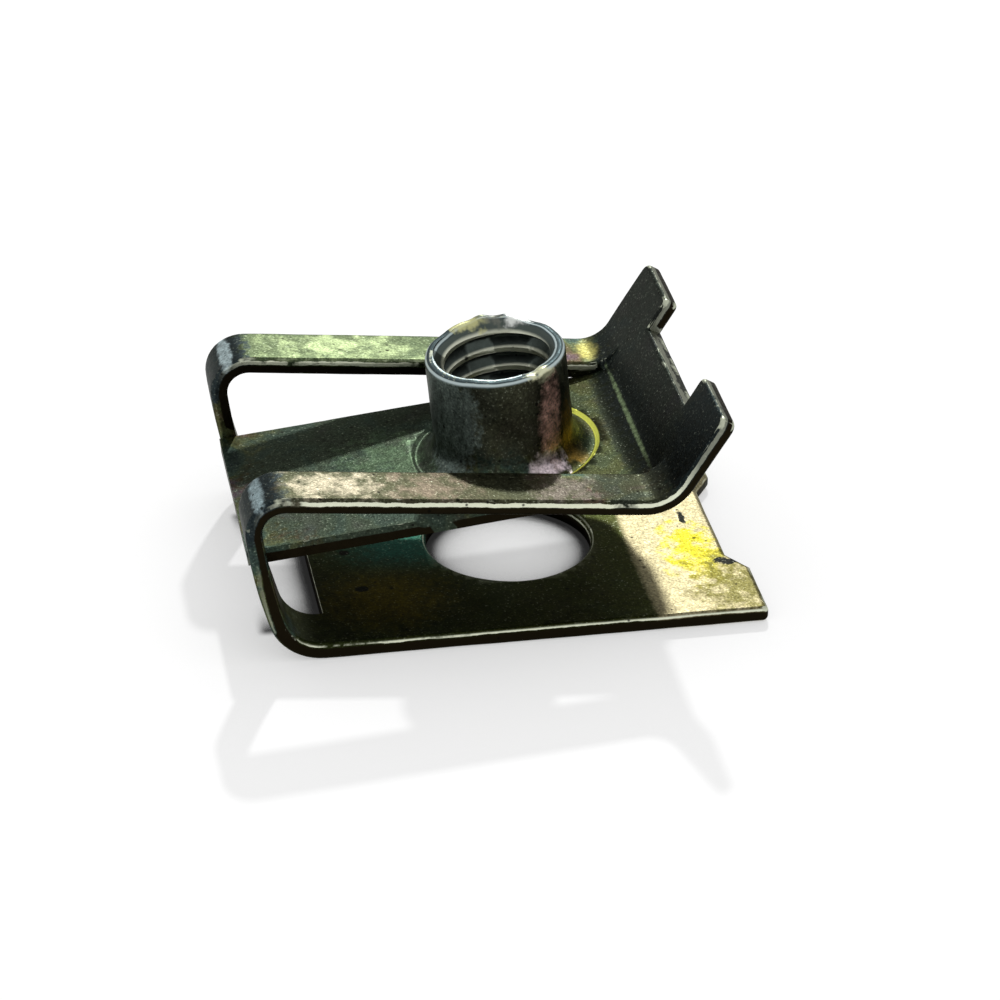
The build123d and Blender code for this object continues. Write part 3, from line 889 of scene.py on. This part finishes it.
def passivated_zinc():
    """Barrel zinc plate on stamped spring steel, dipped in yellow chromate passivate.

    The dip leaves a film of uneven thickness, so the eye gets olive, brass, blue-green and pink
    in patches on a grey metal, broken by a fine mottle, with bright metal on rubbed edges, partly
    a painted highlight, and brown-black on the sheared ones, partly a painted dark reflection.
    Painted shade lies on the lip, the leaf and the foot's hollow, painted light in the leaf's open
    end, and painted highlights on the bends, the rim, the creases, the crests and the grain.
    The tapped bore is dark steel. The specular tint keeps the film from turning white where it is
    seen at a glancing angle.
    """
    tree, shader = new_material(METAL)
    at_object = add_node(tree, "ShaderNodeTexCoord").outputs["Object"]
    place = add_node(tree, "ShaderNodeVectorMath", {0: at_object, 1: (1 / MM,) * 3},
                     operation="MULTIPLY").outputs[0]
    patterns = noise_patterns(tree, place)
    breakups = border_breakups(tree, patterns)
    colour = film_and_painted_light_colour(tree, place, patterns, breakups)
    colour = grained(tree, colour, patterns)
    radius, height, across = from_collar_axis(tree, place)
    colour = tapped_bore(tree, colour, radius, height)
    colour = rim_with_painted_highlights(tree, colour, place, radius, height, breakups)
    colour = foot_crease(tree, colour, radius, height, across)
    colour = sheared_edge(tree, colour, place, patterns, breakups)
    bare_and_highlight = rubbed_bare_and_highlight(tree, breakups)
    bright = add_node(tree, "ShaderNodeMix", {0: bare_and_highlight, 6: colour, 7: linear(BARE_METAL_AND_HIGHLIGHT)},
                      data_type="RGBA")
    dirty = add_node(tree, "ShaderNodeMix", {0: dirt_specks(tree, place), 6: bright.outputs[2],
                                             7: linear(DIRT)}, data_type="RGBA")
    gloss = add_node(tree, "ShaderNodeMapRange", {"Value": patterns["mottle"], "From Min": 0.3,
                                                  "From Max": 0.7, "To Min": 0.34, "To Max": 0.5})
    polished = add_node(tree, "ShaderNodeMath", {0: bare_and_highlight, 1: -0.16, 2: gloss.outputs[0]},
                        operation="MULTIPLY_ADD")
    relief = add_node(tree, "ShaderNodeBump", {"Height": patterns["grain"], "Strength": 0.4,
                                               "Distance": RELIEF * MM})
    tree.links.new(dirty.outputs[2], shader.inputs["Base Color"])
    tree.links.new(polished.outputs[0], shader.inputs["Roughness"])
    tree.links.new(relief.outputs[0], shader.inputs["Normal"])
    shader.inputs["Metallic"].default_value = 1.0
    shader.inputs["Specular Tint"].default_value = (0.6, 0.6, 0.58, 1.0)


# ---- stage ----

def show_camera():
    """The camera that the render is made from."""
    azimuth, elevation = math.radians(VIEW_AZIMUTH), math.radians(VIEW_ELEVATION)
    back = Vector((math.sin(azimuth) * math.cos(elevation),
                   -math.cos(azimuth) * math.cos(elevation), math.sin(elevation)))
    data = bpy.data.cameras.new("camera")
    data.lens = VIEW_LENS
    data.sensor_width = SENSOR
    data.clip_start, data.clip_end = 0.01, 10
    camera = put_in_scene(bpy.data.objects.new("camera", data))
    level = (-back).to_track_quat("-Z", "Y").to_matrix()
    turn = level @ Matrix.Rotation(math.radians(VIEW_ROLL), 3, "Z")
    camera.matrix_world = Matrix.LocRotScale(VIEW_TARGET + back * VIEW_DISTANCE, turn, None)
    bpy.context.scene.camera = camera


def area_light(name, towards, distance, size, power):
    """A square lamp at a distance in one direction, turned to the part."""
    data = bpy.data.lights.new(name, "AREA")
    data.size = size
    data.energy = power
    light = put_in_scene(bpy.data.objects.new(name, data))
    light.location = towards.normalized() * distance
    light.rotation_euler = (-towards).to_track_quat("-Z", "Y").to_euler()


def seen_rays(tree):
    """1 for rays of the camera, of gloss and of glass, which are to see a white background."""
    rays = add_node(tree, "ShaderNodeLightPath").outputs
    either = add_node(tree, "ShaderNodeMath", {0: rays["Is Camera Ray"], 1: rays["Is Glossy Ray"]},
                      operation="MAXIMUM")
    any_of = add_node(tree, "ShaderNodeMath", {0: either.outputs[0],
                                               1: rays["Is Transmission Ray"]},
                      operation="MAXIMUM")
    return any_of.outputs[0]


def floor_shade(tree):
    """How light the floor is, with painted shade: darker in a box close under the part, and plain
    outside it.
    """
    open_sky = add_node(tree, "ShaderNodeAmbientOcclusion", {"Distance": UNDER_REACH}, samples=16)
    under = add_node(tree, "ShaderNodeMapRange", {"Value": open_sky.outputs["AO"],
                                                  "From Min": UNDER_SHUT, "From Max": UNDER_OPEN,
                                                  "To Min": UNDER_DARK})
    at_floor = add_node(tree, "ShaderNodeTexCoord").outputs["Object"]
    spot = add_node(tree, "ShaderNodeSeparateXYZ", {0: at_floor}).outputs
    middle = (CAD_LOW + CAD_HIGH) / 2
    half_length = (CAD_HIGH.x - CAD_LOW.x) / 2 - 2 * UNDER_SOFT
    in_length = near_value(tree, spot["X"], middle.x, half_length, UNDER_SOFT)
    in_width = near_value(tree, spot["Y"], middle.y, TONGUE_HALF * MM, UNDER_SOFT)
    footprint = add_node(tree, "ShaderNodeMath", {0: in_length, 1: in_width},
                         operation="MULTIPLY")
    shade = add_node(tree, "ShaderNodeMix", {0: footprint.outputs[0], 2: 1.0,
                                             3: under.outputs[0]})
    return shade.outputs[0]


def show_floor():
    """A plain pale floor that takes the part's shadow, with painted shade close under the part, and
    is lifted to near white where seen.
    """
    mesh = bpy.data.meshes.new("floor")
    corners = [(-FLOOR_HALF, -FLOOR_HALF, 0), (FLOOR_HALF, -FLOOR_HALF, 0),
               (FLOOR_HALF, FLOOR_HALF, 0), (-FLOOR_HALF, FLOOR_HALF, 0)]
    mesh.from_pydata(corners, [], [(0, 1, 2, 3)])
    floor = put_in_scene(bpy.data.objects.new("floor", mesh))
    tree, shader = new_material("pale_floor")
    shader.inputs["Roughness"].default_value = 0.9
    shader.inputs["Specular IOR Level"].default_value = 0.0
    shader.inputs["Emission Color"].default_value = (1, 1, 1, 1)
    shade = floor_shade(tree)
    grey = add_node(tree, "ShaderNodeMath", {0: shade, 1: FLOOR_GREY}, operation="MULTIPLY")
    lift = add_node(tree, "ShaderNodeMath", {0: seen_rays(tree), 1: FLOOR_LIFT},
                    operation="MULTIPLY")
    lifted = add_node(tree, "ShaderNodeMath", {0: lift.outputs[0], 1: shade},
                      operation="MULTIPLY")
    tree.links.new(grey.outputs[0], shader.inputs["Base Color"])
    tree.links.new(lifted.outputs[0], shader.inputs["Emission Strength"])
    mesh.materials.append(bpy.data.materials["pale_floor"])


def show_sky():
    """A plain white sky, a little brighter where it is seen than where it lights."""
    world = bpy.data.worlds.new("world")
    bpy.context.scene.world = world
    world.use_nodes = True
    tree = world.node_tree
    sky = tree.nodes["Background"]
    sky.inputs["Color"].default_value = (1, 1, 1, 1)
    level = add_node(tree, "ShaderNodeMapRange", {"Value": seen_rays(tree), "To Min": SKY_LEVEL,
                                                  "To Max": SKY_SEEN})
    tree.links.new(level.outputs[0], sky.inputs["Strength"])


show_camera()
show_floor()
show_sky()
area_light("key", SUN_SIDE, SUN_DISTANCE, SUN_SIZE, SUN_POWER)
bpy.context.scene.view_settings.view_transform = "Standard"
passivated_zinc()
pressing = make_pressing()
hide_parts("clip")
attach(pressing, "root")
